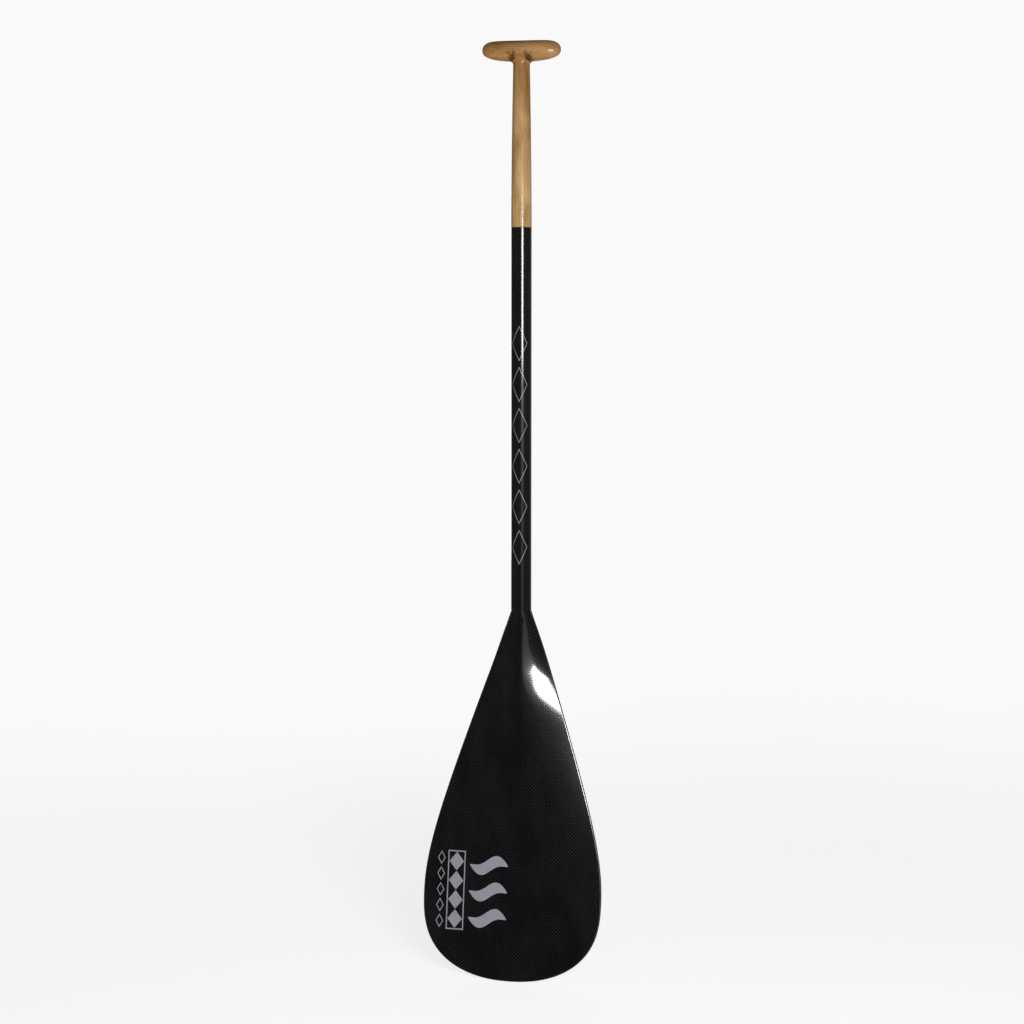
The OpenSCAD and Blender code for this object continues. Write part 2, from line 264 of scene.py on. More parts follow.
def slab_parts(front, back):
    """Points and faces of a closed sheet between two grids, with its four edge walls."""
    rows, cols = front.shape[:2]
    count = rows * cols
    faces = grid_faces(rows, cols, flip=True) + grid_faces(rows, cols, start=count)
    edge = ([(0, c) for c in range(cols)] + [(r, cols - 1) for r in range(1, rows)]
            + [(rows - 1, c) for c in range(cols - 2, -1, -1)]
            + [(r, 0) for r in range(rows - 2, 0, -1)])
    ring = [r * cols + c for r, c in edge]
    for i, a in enumerate(ring):
        b = ring[(i + 1) % len(ring)]
        faces.append((a, b, b + count, a + count))
    return np.concatenate([front.reshape(-1, 3), back.reshape(-1, 3)]), faces


def capped(rows, cols):
    """Quads between closed rings, with a flat cap on the first and the last."""
    faces = grid_faces(rows, cols, loop=True)
    faces.append(tuple(range(cols - 1, -1, -1)))
    faces.append(tuple((rows - 1) * cols + c for c in range(cols)))
    return faces


def closed(rows, cols):
    """Quads between closed rings, the last of them joined to the first."""
    last = (rows - 1) * cols
    return grid_faces(rows, cols, loop=True) + [
        (last + c, last + (c + 1) % cols, (c + 1) % cols, c) for c in range(cols)]


def lathe_rings(profile, segments=128):
    """Rings of points that a profile of (radius, z) points makes round the shaft axis."""
    profile = np.array(profile, float)
    turn = np.linspace(0, 2 * math.pi, segments, endpoint=False)
    return np.stack([
        profile[:, :1] * np.cos(turn), profile[:, :1] * np.sin(turn),
        profile[:, 1:] + 0 * turn], -1)


# ---------------------------------------------------------------- materials
# Places are in metres, so a noise scale is a count of cells per metre.
class Shader:
    """A procedural material on one Principled shader, with short calls for its nodes."""

    def __init__(self, name, **constants):
        self.material = bpy.data.materials.new(name)
        self.material.use_nodes = True
        self.tree = self.material.node_tree
        self.bsdf = self.tree.nodes["Principled BSDF"]
        for socket, value in constants.items():
            self.bsdf.inputs[socket.replace("_", " ")].default_value = value
        self.place = self.node("ShaderNodeTexCoord").outputs["Object"]

    def node(self, kind, links=None, **settings):
        made = self.tree.nodes.new(kind)
        for key, value in settings.items():
            setattr(made, key, value)
        for socket, value in (links or {}).items():
            if isinstance(value, bpy.types.NodeSocket):
                self.tree.links.new(value, made.inputs[socket])
            else:
                made.inputs[socket].default_value = value
        return made

    def math(self, operation, *values):
        return self.node("ShaderNodeMath", dict(enumerate(values)), operation=operation).outputs[0]

    def radius(self, a, b):
        return self.math("SQRT", self.math(
            "ADD", self.math("POWER", a, 2.0), self.math("POWER", b, 2.0)))

    def split(self, vector):
        made = self.node("ShaderNodeSeparateXYZ", {0: vector})
        return made.outputs[0], made.outputs[1], made.outputs[2]

    def scaled(self, factors, vector=None):
        """A vector, or the place when none is given, multiplied axis by axis."""
        return self.node("ShaderNodeVectorMath", {0: vector or self.place, 1: factors},
                         operation="MULTIPLY").outputs[0]

    def noise(self, vector, detail=3.0, roughness=0.5, distortion=0.0):
        return self.node("ShaderNodeTexNoise", {
            "Vector": vector, "Scale": 1.0, "Detail": detail, "Roughness": roughness,
            "Distortion": distortion}).outputs[0]

    def remap(self, value, low, high, to_low=0.0, to_high=1.0, kind="LINEAR"):
        return self.node("ShaderNodeMapRange", {
            0: value, 1: low, 2: high, 3: to_low, 4: to_high}, interpolation_type=kind).outputs[0]

    def ramp(self, value, *stops):
        """A colour ramp over (position, colour) stops."""
        made = self.node("ShaderNodeValToRGB", {0: value})
        elements = made.color_ramp.elements
        while len(elements) < len(stops):
            elements.new(0.5)
        for element, (position, colour) in zip(elements, stops):
            element.position = position
            element.color = (*colour, 1)
        return made.outputs[0]

    def blend(self, factor, a, b, kind="MIX"):
        made = self.node("ShaderNodeMix", data_type="RGBA", blend_type=kind)
        for socket, value in ((made.inputs[0], factor), (made.inputs[6], a), (made.inputs[7], b)):
            if isinstance(value, bpy.types.NodeSocket):
                self.tree.links.new(value, socket)
            else:
                socket.default_value = value if isinstance(value, float) else (*value, 1)
        return made.outputs[2]

    def choose(self, which, at_zero, at_one):
        """One of two values, or a mix of them when which lies between 0 and 1."""
        return self.node("ShaderNodeMix", {0: which, 2: at_zero, 3: at_one},
                         data_type="FLOAT").outputs[0]

    def bump(self, height, distance, strength=1.0, socket="Normal"):
        made = self.node("ShaderNodeBump", {
            "Height": height, "Distance": distance, "Strength": strength})
        self.tree.links.new(made.outputs[0], self.bsdf.inputs[socket])

    def set(self, socket, value):
        self.tree.links.new(value, self.bsdf.inputs[socket])


TOW = 2.3 * MM
TUBE_TOWS = 38
CARBON_TINT = np.array((1.0, 0.90, 1.02))
WEAVE_DEPTH = 0.06 * MM
CROWN_ROUND, DIM_TOWS = 0.8, 0.18


def carbon(name, around=False, dark=0.0001, light=0.026, rough=(0.22, 0.34),
           print_through=0.0, **constants):
    """Woven carbon: a plain weave of flat tows under the clear coat.

    The weave runs round the shaft axis or lies flat across the blade, where it drifts a little.
    """
    s = Shader(name, **constants)
    x, y, z = s.split(s.place)
    if around:
        turn = s.math("ARCTAN2", x, s.math("MULTIPLY", y, -1.0))
        u = s.math("MULTIPLY", turn, TUBE_TOWS / (2 * math.pi))
    else:
        u = s.math("MULTIPLY", x, 1 / TOW)
    v = s.math("MULTIPLY", z, 1 / TOW)
    if not around:
        drift = s.noise(s.scaled((9, 9, 9)), detail=1.0)
        u = s.math("ADD", u, s.remap(drift, 0.3, 0.7, -0.5, 0.5))
        v = s.math("ADD", v, s.remap(drift, 0.3, 0.7, 0.4, -0.4))
    iu, iv = s.math("FLOOR", u), s.math("FLOOR", v)
    fu, fv = s.math("FRACT", u), s.math("FRACT", v)
    warp = s.math("FLOORED_MODULO", s.math("ADD", iu, iv), 2.0)
    hump_u = s.math("SINE", s.math("MULTIPLY", fu, math.pi))
    hump_v = s.math("SINE", s.math("MULTIPLY", fv, math.pi))
    across = s.choose(warp, hump_v, hump_u)
    along = s.choose(warp, hump_u, hump_v)
    height = s.math("MULTIPLY", s.math("POWER", across, 0.35), s.math("ADD", 0.35, s.math(
        "MULTIPLY", along, 0.65)))
    fibres_u = s.noise(s.scaled((9000, 9000, 260)), detail=1.0)
    fibres_v = s.noise(s.scaled((260, 260, 9000)), detail=1.0)
    fibres = s.choose(warp, fibres_v, fibres_u)
    cloth = s.noise(s.scaled((42, 42, 16)), detail=2.0)
    # the tows of one way catch the light on their crowns, more so in some parts of the cloth
    crown = s.math("POWER", s.math("MULTIPLY", hump_u, hump_v), CROWN_ROUND)
    tone = s.math("MULTIPLY", crown, s.choose(warp, DIM_TOWS, 1.0))
    tone = s.math("MULTIPLY", tone, s.remap(cloth, 0.35, 0.65, 0.72, 1.12))
    tone = s.math("MULTIPLY", tone, s.remap(fibres, 0.3, 0.7, 0.8, 1.1))
    if not around:
        # resin runs smooth over the steep sides of the neck, where the weave turns away
        normal = s.node("ShaderNodeTexCoord").outputs["Normal"]
        flank = s.remap(s.math("ABSOLUTE", s.split(normal)[0]), 0.72, 0.94)
        tone = s.choose(flank, tone, 0.10)
        height = s.choose(flank, height, 0.5)
    s.set("Base Color", s.ramp(tone, (0.0, dark * CARBON_TINT), (1.0, light * CARBON_TINT)))
    s.set("Roughness", s.remap(fibres, 0.3, 0.7, *rough))
    s.bump(s.math("ADD", height, s.math("MULTIPLY", fibres, 0.12)), WEAVE_DEPTH, 0.8)
    if print_through:
        s.bump(height, print_through, 1.0, "Coat Normal")
    return s.material


# tint that darkens the stem's wood towards the grip
TOWARDS_GRIP_TINT = (0.72, 0.56, 0.41)
# tint of the painted shade round the stem's socket, with end grain soaked in varnish
SOAKED_AND_SHADE_TINT = (0.30, 0.24, 0.20)


def grain(name, along, pale, mid, dark, coat, ring_pitch=0.0035, seed=0.0, darker_towards_grip=None,
          soaked_and_shade=None):
    """Wood cut along the grain: growth rings, fibres and short pores, under varnish."""
    s = Shader(name, Specular_IOR_Level=0.1, Coat_Weight=coat, Coat_Roughness=0.13, Coat_IOR=1.5)

    def drawn_out(shorter):
        return (shorter, 1, 1) if along == "X" else (1, 1, shorter)

    shift = s.node("ShaderNodeVectorMath", {0: s.place, 1: (seed, seed * 0.7, seed * 1.3)},
                   operation="ADD").outputs[0]
    lie = s.scaled(drawn_out(0.09), shift)
    wander = s.noise(s.scaled((60, 60, 60), lie), detail=2.0, distortion=0.6)
    a, b, c = s.split(lie)
    # the rings run round the heart of the tree, which lies beside the piece
    if along == "X":
        reach = s.radius(s.math("ADD", b, 0.034), s.math("ADD", c, 0.02))
    else:
        reach = s.radius(s.math("ADD", a, 0.05), s.math("ADD", b, 0.06))
    ring = s.math("ADD", s.math("DIVIDE", reach, ring_pitch), s.math("MULTIPLY", wander, 3.6))
    late = s.math("POWER", s.math("FRACT", ring), 3.0)
    fibre = s.noise(s.scaled((1500, 1500, 1500), s.scaled(drawn_out(0.02), shift)),
                    detail=3.0, roughness=0.6)
    pores = s.noise(s.scaled((2600, 2600, 2600), s.scaled(drawn_out(0.035), shift)), detail=1.0)
    pore = s.remap(pores, 0.66, 0.74)
    broad = s.noise(s.scaled((45, 45, 45), s.scaled(drawn_out(0.35), shift)),
                    detail=2.0, distortion=0.4)
    tone = s.math("ADD", s.math("MULTIPLY", late, 0.24), s.remap(fibre, 0.3, 0.7, -0.10, 0.42))
    tone = s.math("ADD", tone, s.remap(broad, 0.3, 0.7, -0.30, 0.56))
    colour = s.ramp(tone, (0.05, pale), (0.45, mid), (1.0, dark))
    colour = s.blend(s.math("MULTIPLY", pore, 0.55), colour, tuple(0.35 * k for k in dark))
    if darker_towards_grip:
        # the wood darkens towards the grip
        height = s.remap(s.split(s.place)[2], *(k * MM for k in darker_towards_grip))
        colour = s.blend(s.math("POWER", height, 2.2), colour, TOWARDS_GRIP_TINT, kind="MULTIPLY")
    if soaked_and_shade:
        # painted shade in the hollow fillet round the stem's socket, partly real end grain there
        # that takes up more varnish, so the wood looks darker
        near_from, near_to, low_from, low_to = (k * MM for k in soaked_and_shade)
        x, y, z = s.split(s.place)
        patches = s.noise(s.scaled((260, 260, 260)), detail=2.0)
        edge = s.remap(patches, 0.3, 0.7, -2.5 * MM, 2.5 * MM)
        near = s.remap(s.math("ADD", s.radius(x, y), edge), near_from, near_to, 1.0, 0.0)
        low = s.remap(s.math("ADD", z, edge), low_from, low_to, 1.0, 0.0)
        # the painted shade is deepest in the pockets either side of the stem
        side = s.remap(s.math("ABSOLUTE", x), 4 * MM, 9 * MM, 0.25, 1.0)
        colour = s.blend(s.math("MULTIPLY", s.math("MULTIPLY", near, low), side), colour,
                         SOAKED_AND_SHADE_TINT, kind="MULTIPLY")
    s.set("Base Color", colour)
    s.set("Roughness", s.remap(fibre, 0.3, 0.7, 0.34, 0.50))
    s.bump(s.math("SUBTRACT", s.math("MULTIPLY", fibre, 0.35), pore), 0.00003, 0.6)
    return s.material


def resin_rim():
    """Dark filled resin, sanded and clear coated."""
    s = Shader("rim_resin_coated", Coat_Weight=1.0, Coat_Roughness=0.14, Coat_IOR=1.5)
    fine = s.noise(s.scaled((900, 900, 900)), detail=3.0)
    wear = s.noise(s.scaled((45, 45, 45)), detail=4.0)
    tone = s.math("ADD", s.math("MULTIPLY", fine, 0.4), s.math("MULTIPLY", wear, 0.6))
    s.set("Base Color", s.ramp(tone, (0.30, (0.004, 0.004, 0.005)), (0.72, (0.014, 0.0135, 0.015))))
    s.set("Roughness", s.remap(wear, 0.3, 0.7, 0.35, 0.6))
    s.bump(fine, 0.00003, 0.5)
    return s.material


PRINT_TINT = np.array((1.0, 0.93, 1.10))


def silver_print(name, level):
    """Satin silver-grey print, with fine flakes."""
    s = Shader(name, Metallic=0.0, Coat_Weight=0.6, Coat_Roughness=0.12, Coat_IOR=1.5)
    flake = s.noise(s.scaled((5200, 5200, 5200)), detail=1.0)
    cloud = s.noise(s.scaled((120, 120, 120)), detail=3.0)
    tone = s.math("ADD", s.math("MULTIPLY", flake, 0.5), s.math("MULTIPLY", cloud, 0.5))
    s.set("Base Color", s.ramp(tone, (0.3, 0.86 * level * PRINT_TINT),
                               (0.7, 1.12 * level * PRINT_TINT)))
    s.set("Roughness", s.remap(flake, 0.3, 0.7, 0.40, 0.55))
    s.bump(flake, 0.00001, 0.4)
    return s.material


def foam():
    s = Shader("foam_cells")
    cells = s.node("ShaderNodeTexVoronoi", {"Vector": s.place, "Scale": 1400.0}).outputs[0]
    cloud = s.noise(s.scaled((60, 60, 60)), detail=3.0)
    s.set("Base Color", s.ramp(s.math("MULTIPLY", s.math("ADD", cells, cloud), 0.6),
                               (0.2, (0.88, 0.82, 0.66)), (0.8, (0.66, 0.58, 0.42))))
    s.set("Roughness", s.remap(cells, 0.0, 0.7, 0.95, 0.7))
    s.bump(cells, 0.0002, 0.8)
    return s.material


def epoxy():
    s = Shader("epoxy_cured", Coat_Weight=0.3, Coat_Roughness=0.2)
    cloud = s.noise(s.scaled((160, 160, 160)), detail=4.0)
    bubbles = s.node("ShaderNodeTexVoronoi", {"Vector": s.place, "Scale": 700.0}).outputs[0]
    s.set("Base Color", s.ramp(cloud, (0.3, (0.52, 0.36, 0.12)), (0.7, (0.70, 0.54, 0.24))))
    s.set("Roughness", s.remap(bubbles, 0.0, 0.3, 0.5, 0.2))
    s.bump(bubbles, 0.00005, 0.4)
    return s.material


GRIP_WOOD = {"pale": (0.40, 0.226, 0.089), "mid": (0.30, 0.152, 0.052),
             "dark": (0.17, 0.072, 0.019)}
STEM_WOOD = {"pale": (0.50, 0.33, 0.148), "mid": (0.385, 0.23, 0.091),
             "dark": (0.235, 0.119, 0.038)}
# the grip carries painted shade and soaked end grain round the stem's socket
grip_wood = grain("grip_wood", "X", coat=0.4, seed=0.31, ring_pitch=0.0042,
                  soaked_and_shade=(16, 22, GRIP_UNDER + 10, GRIP_UNDER + 16), **GRIP_WOOD)
stem_wood = grain("stem_wood", "Z", coat=0.4, seed=0.137, darker_towards_grip=(JOINT_Z, GRIP_UNDER),
                  **STEM_WOOD)
stringer_wood = grain("stringer_cedar", "Z", pale=(0.62, 0.42, 0.24), mid=(0.50, 0.30, 0.14),
                      dark=(0.30, 0.14, 0.06), coat=0.0, ring_pitch=0.0022, seed=0.9)
tube_carbon = carbon("tube_carbon_weave", around=True, dark=0.0001, light=0.033,
                     Specular_IOR_Level=0.08, Coat_Weight=0.65, Coat_Roughness=0.10,
                     Coat_IOR=1.5)
blade_carbon = carbon("blade_carbon_weave", print_through=0.000006, Specular_IOR_Level=0.06,
                      Coat_Weight=1.0, Coat_Roughness=0.09, Coat_IOR=1.5)
sleeve_carbon = carbon("sleeve_carbon_weave", around=True, Coat_Weight=0.0)
rim_material = resin_rim()
blade_print = silver_print("blade_print_silver", 0.27)
tube_print = silver_print("tube_print_silver", 0.22)
foam_material = foam()
epoxy_material = epoxy()


# ---------------------------------------------------------------- grip and stem
GRIP_SQUARE = 0.9
GRIP_ROWS, GRIP_END = 201, 0.4965 * math.pi
TOP_POWER, TOP_ROOT = 7, 0.5
LOW_POWER, LOW_ROOT = 2.5, 1 / 2.6
DEPTH_POWER, DEPTH_ROOT = 3.4, 1 / 2.2


def grip_section(x):
    """The grip's heights above and below its fullest line and its depth, x from -1 to 1."""
    top = GRIP_ROUND_DOWN * (1 - abs(x) ** TOP_POWER) ** TOP_ROOT
    low = (GRIP_TOP - GRIP_UNDER - GRIP_ROUND_DOWN) * (1 - abs(x) ** LOW_POWER) ** LOW_ROOT
    depth = GRIP_HALF_DEPTH * (1 - abs(x) ** DEPTH_POWER) ** DEPTH_ROOT
    return top, low, depth


def grip_ring(x, steps):
    """One ring of the grip's surface, at x from -1 to 1."""
    top, low, depth = grip_section(x)
    turn = np.linspace(0, 2 * math.pi, steps, endpoint=False)
    c, s = np.cos(turn), np.sin(turn)
    rise = np.where(s >= 0, top, low)
    return np.stack([
        x * GRIP_W / 2 + 0 * turn,
        -depth * np.sign(c) * np.abs(c) ** GRIP_SQUARE,
        GRIP_TOP - GRIP_ROUND_DOWN + rise * np.sign(s) * np.abs(s) ** GRIP_SQUARE], -1)


def stem_radius(up):
    """The tapered stem's radius at a height above the tube's end."""
    return mix(STEM_LOW_R, STEM_TOP_R, (np.clip(up, 0, STEM_LEN) / STEM_LEN) ** STEM_SWELL)


# The grip and the stem run into each other in a hollow fillet. Both are shaped by one
# smooth union of their two forms, and each dips under the other past the joint between them.
FILLET = 6.0
FILLET_ROWS, FILLET_ROW = 14, 0.5
CHAMFER = 1
TUCK, TUCK_OVER = 0.4, 1.5
ROUND_STEPS = 144
SETTLE_STEPS = 8
SHOULDER_Z = GRIP_UNDER + SOCKET_DEPTH


def slopes(level, p, step=0.02):
    """How fast a level changes along each axis, at points p."""
    return np.stack([(level(p + step * e) - level(p - step * e)) / (2 * step)
                     for e in np.eye(3)], -1)


def grip_scale(p):
    """Zero on the grip's surface, in proportion to its section elsewhere."""
    x = np.minimum(np.abs(p[:, 0]) / (GRIP_W / 2), 0.998)
    top, low, depth = grip_section(x)
    up = p[:, 2] - (GRIP_TOP - GRIP_ROUND_DOWN)
    rise = np.where(up >= 0, top, low)
    power = 2 / GRIP_SQUARE
    return ((np.abs(p[:, 1]) / depth) ** power + (np.abs(up) / rise) ** power) ** (1 / power) - 1


def to_grip(p):
    """How far points lie outside the grip, in millimetres."""
    return grip_scale(p) / np.linalg.norm(slopes(grip_scale, p), axis=1)


def to_stem(p):
    """How far points lie outside the stem below its shoulder, in millimetres."""
    return np.maximum(np.hypot(p[:, 0], p[:, 1]) - stem_radius(p[:, 2] - JOINT_Z),
                      p[:, 2] - SHOULDER_Z)


def union(p):
    """How far points lie outside the grip and stem together, with the fillet between them."""
    a, b = to_grip(p), to_stem(p)
    near = np.maximum(FILLET - np.abs(a - b), 0) / FILLET
    return np.minimum(a, b) - near ** 2 * FILLET / 4


def filleted(points, own, other):
    """Points of one form moved onto the union's surface where the other form is near."""
    points = np.array(points, float)
    apart = other(points)
    near = (apart > -TUCK_OVER) & (apart < FILLET)
    start = points[near]
    p = start.copy()
    for _ in range(SETTLE_STEPS):
        past = np.clip((own(p) - other(p)) / TUCK_OVER, 0, 1)
        g = slopes(union, p)
        p -= ((union(p) + TUCK * past) / (g ** 2).sum(1))[:, None] * g
    share = smooth((apart[near] + TUCK_OVER) / TUCK_OVER)[:, None]
    points[near] = start + (p - start) * share
    return points


def build_grip():
    # the end rings stop just short of the ends, which are flat caps
    places = np.sin(np.linspace(-GRIP_END, GRIP_END, GRIP_ROWS))
    rings = np.array([grip_ring(x, ROUND_STEPS) for x in places])
    points = filleted(rings.reshape(-1, 3), to_grip, to_stem)
    return piece("grip", points, capped(*rings.shape[:2]), grip_wood, "varnished_wood_grip",
                 "palm_grip", sharp=60)


def build_stem():
    foot_z = stem_low_corner[2]
    # rows lie close together where the fillet runs
    heights = np.concatenate([
        np.linspace(0, STEM_LEN - FILLET_ROWS, 50)[1:],
        np.arange(STEM_LEN - FILLET_ROWS + FILLET_ROW, STEM_LEN + SOCKET_DEPTH - CHAMFER,
                  FILLET_ROW)])
    profile = [(SPIGOT_R - CHAMFER, foot_z), (SPIGOT_R, foot_z + CHAMFER),
               (SPIGOT_R, JOINT_Z), (STEM_LOW_R - 0.25, JOINT_Z), (STEM_LOW_R, JOINT_Z + 0.3)]
    profile += [(float(stem_radius(up)), JOINT_Z + up) for up in heights]
    profile += [(STEM_TOP_R - CHAMFER, SHOULDER_Z),
                (TENON_R, SHOULDER_Z), (TENON_R, stem_high_corner[2] - CHAMFER),
                (TENON_R - CHAMFER, stem_high_corner[2])]
    rings = lathe_rings(profile, ROUND_STEPS)
    points = rings.reshape(-1, 3)
    outside = ((points[:, 2] > GRIP_UNDER - FILLET_ROWS)
               & (np.hypot(points[:, 0], points[:, 1]) > STEM_TOP_R - 0.1))
    points[outside] = filleted(points[outside], to_stem, to_grip)
    return piece("stem", points, capped(*rings.shape[:2]), stem_wood, "varnished_wood_stem",
                 "handle_stem")


# ---------------------------------------------------------------- tube and blade
def build_tube():
    inner, broken, ease = TUBE_R - TUBE_WALL, TUBE_R - 0.3, 0.4
    profile = [(inner, NECK_Z), (broken, NECK_Z)]
    profile += [(TUBE_R, z) for z in np.linspace(NECK_Z + ease, JOINT_Z - ease, 40)]
    profile += [(broken, JOINT_Z), (inner, JOINT_Z)]
    rings = lathe_rings(profile)
    return piece("tube", rings.reshape(-1, 3), closed(*rings.shape[:2]), tube_carbon,
                 "tube_carbon", "shaft_tube")


def build_skin(name, node, front_height, back_height):
    """A skin of the blade between two heights, the one nearer the ridged back first."""
    d = STATIONS[:, None]
    t = inner_half(d) * ACROSS[None, :]
    front = blade_point(d, t, front_height(d, t))
    back = blade_point(d, t, back_height(d, t))
    points, faces = slab_parts(front, back)
    return piece(name, points, faces, blade_carbon, "blade_carbon", node)


def build_rail():
    """The round rim, from the neck down one side, round the tip and up the other."""
    right = [(d, inner_half(d)) for d in STATIONS]
    path = np.array([(d, -t) for d, t in right] + right[::-1])
    ahead, behind = np.roll(path, -1, 0), np.roll(path, 1, 0)
    ahead[-1], behind[0] = path[-1], path[0]
    along = ahead - behind
    out = np.stack([along[:, 1], -along[:, 0]], -1) / np.linalg.norm(along, axis=1)[:, None]
    d, t = path[:, :1], path[:, 1:]
    e = rim_half(d)
    # the rim's round starts along the slope of the skin that it joins
    inward = 0.5
    inside_d, inside_t = d - out[:, :1] * inward, t - out[:, 1:] * inward
    back_slope = np.clip((back_h(inside_d, inside_t) - back_h(d, t)) / inward, 0, 0.9)
    face_slope = np.clip((face_h(d, t) - face_h(inside_d, inside_t)) / inward, 0, 0.9)
    s = np.linspace(0, 1, RIM_STEPS // 2 + 1)[None, :]
    reach = e * (2 * s * (1 - s) + s * s)
    above = e * ((1 - s) ** 2 + 2 * s * (1 - s) * (1 - back_slope))
    below = e * ((1 - s) ** 2 + 2 * s * (1 - s) * (1 - face_slope))
    reach = np.concatenate([reach, reach[:, -2::-1]], 1)
    rise = np.concatenate([-below, above[:, -2::-1]], 1)
    rings = blade_point(d + out[:, :1] * reach, t + out[:, 1:] * reach, rim_h(d) + rise)
    return piece("rail", rings.reshape(-1, 3), capped(*rings.shape[:2]), rim_material,
                 "rim_resin", "edge_rail")


# ---------------------------------------------------------------- printed marks
# Marks are drawn on a flat sheet of (across, down) points and laid on the tube or the blade.
FILM_T = 0.05
FILM_LIFT = 0.03


def on_tube(p, h):
    """Flat points wrapped round the tube, raised by h."""
    r, a = TUBE_R + FILM_LIFT + h, p[:, 0] / TUBE_R
    return np.stack([r * np.sin(a), -r * np.cos(a), -p[:, 1]], -1)


def on_blade(p, h):
    """Flat points laid on the blade's back, raised by h."""
    return blade_point(p[:, 1], p[:, 0], back_h(p[:, 1], p[:, 0]) + FILM_LIFT + h)


def film_parts(left, right, lay, across=6):
    """A film between two edges, lists of flat (across, down) points."""
    left, right = np.array(left, float), np.array(right, float)
    steps = np.linspace(0, 1, across + 1)[None, :, None]
    flat = left[:, None] * (1 - steps) + right[:, None] * steps
    rows, cols = flat.shape[:2]
    top = lay(flat.reshape(-1, 2), FILM_T).reshape(rows, cols, 3)
    under = lay(flat.reshape(-1, 2), 0).reshape(rows, cols, 3)
    return slab_parts(top, under)


def outline_parts(outer, inner, lay):
    """A closed line between an outer and an inner outline."""
    outer, inner = np.array(outer, float), np.array(inner, float)
    layers = [lay(inner, FILM_T), lay(outer, FILM_T), lay(outer, 0), lay(inner, 0)]
    rings = np.stack(layers, 1)
    return rings.reshape(-1, 3), closed(*rings.shape[:2])


def stepped(corners, steps):
    """The points of a closed outline, each side cut into steps."""
    corners = np.array(corners, float)
    return [corners[i] * (1 - s / steps) + corners[(i + 1) % len(corners)] * s / steps
            for i in range(len(corners)) for s in range(steps)]


def diamond(w, h):
    return [(0, -h / 2), (w / 2, 0), (0, h / 2), (-w / 2, 0)]


def frame_corners(w, h):
    return [(-w / 2, -h / 2), (w / 2, -h / 2), (w / 2, h / 2), (-w / 2, h / 2)]


def diamond_line(w, h, line, at, steps, lay):
    """A diamond drawn as a line of even width."""
    slant = math.hypot(w, h)
    outer = np.array(stepped(diamond(w, h), steps)) + at
    inner = np.array(stepped(diamond(w - 2 * line * slant / h, h - 2 * line * slant / w), steps))
    return outline_parts(outer, inner + at, lay)


def gather(parts):
    """One list of points and faces from several."""
    points, faces, start = [], [], 0
    for some, quads in parts:
        points.append(some)
        faces += [tuple(start + k for k in quad) for quad in quads]
        start += len(some)
    return np.concatenate(points), faces


TUBE_MARKS, TUBE_MARK_PITCH, TUBE_MARK_Z = 6, 55.5, -34.0
TUBE_MARK_W, TUBE_MARK_LEN, TUBE_LINE = 23, 48, 0.9
MARKS_UP, MARK_H = 118.0, 106.0
MARK_D = BLADE_LEN - MARKS_UP
SMALL_DIAMONDS, SMALL_AT, SMALL_W, SMALL_GAP, SMALL_LINE = 5, -100, 11, 3, 1.1
BAR_DIAMONDS, BAR_AT, BAR_W, BAR_LINE, MARGIN = 4, -78, 25.0, 1.6, 0.6
WAVES, WAVE_AT, WAVE_HALF, WAVE_RISE, WAVE_SWELL = 3, -32, 27, 6, 8.5
BLUNT = 0.15


def spread(count, pitch):
    """Places of a count of marks either side of zero."""
    return [(i - (count - 1) / 2) * pitch for i in range(count)]


def build_tube_marks():
    parts = [diamond_line(TUBE_MARK_W, TUBE_MARK_LEN, TUBE_LINE, (0, down - TUBE_MARK_Z), 16,
                          on_tube) for down in spread(TUBE_MARKS, TUBE_MARK_PITCH)]
    return piece("tube_marks", *gather(parts), tube_print, "silver_print", "tube_marks_film")


def build_blade_marks():
    pitch = MARK_H / SMALL_DIAMONDS
    parts = [diamond_line(SMALL_W, pitch - SMALL_GAP, SMALL_LINE, (SMALL_AT, MARK_D + down), 8,
                          on_blade) for down in spread(SMALL_DIAMONDS, pitch)]
    piece("blade_diamonds", *gather(parts), blade_print, "silver_print", "blade_diamonds_film")

    middle = np.array([BAR_AT, MARK_D])
    parts = [outline_parts(
        np.array(stepped(frame_corners(BAR_W, MARK_H), 24)) + middle,
        np.array(stepped(frame_corners(BAR_W - 2 * BAR_LINE, MARK_H - 2 * BAR_LINE), 24)) + middle,
        on_blade)]
    pitch = (MARK_H - 2 * BAR_LINE) / BAR_DIAMONDS
    half_w, half_h = BAR_W / 2 - BAR_LINE - MARGIN, pitch / 2 - MARGIN
    for down in spread(BAR_DIAMONDS, pitch):
        at = middle + (0, down)
        rows = [(s * half_h, half_w * (1 - abs(s)) + BLUNT) for s in np.linspace(-1, 1, 17)]
        parts.append(film_parts([at + (-w, y) for y, w in rows], [at + (w, y) for y, w in rows],
                                on_blade))
    piece("blade_bar", *gather(parts), blade_print, "silver_print", "blade_bar_film")

    parts = []
    line = [(s * WAVE_HALF, -WAVE_RISE * math.sin(math.pi * s),
             WAVE_SWELL * (1 - s * s) ** 0.8 + BLUNT) for s in np.linspace(-1, 1, 49)]
    for down in spread(WAVES, MARK_H / WAVES):
        at = np.array([WAVE_AT, MARK_D + down])
        parts.append(film_parts([at + (x, y + w) for x, y, w in line],
                                [at + (x, y - w) for x, y, w in line], on_blade))
    piece("blade_waves", *gather(parts), blade_print, "silver_print", "blade_waves_film")


build_grip()
build_stem()
build_tube()
build_skin("back", "back_skin", back_h, back_inner_h)
build_skin("power_face", "power_face_skin", face_inner_h, face_h)
build_rail()
build_tube_marks()
build_blade_marks()

# the inner pieces keep their CAD meshes
CARRIED = {"stem_bond": epoxy_material, "tang_bond": epoxy_material,
           "tang_sleeve": sleeve_carbon, "tang_foam": foam_material,
           "core_left": foam_material, "core_right": foam_material, "stringer": stringer_wood}
for node, material in CARRIED.items():
    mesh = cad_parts[node].data
    mesh.materials.clear()
    mesh.materials.append(material)


# ---------------------------------------------------------------- floor, light and camera
FLOOR_R, FLOOR_SIDES, FLOOR_GAP = 2.6, 96, 0.002


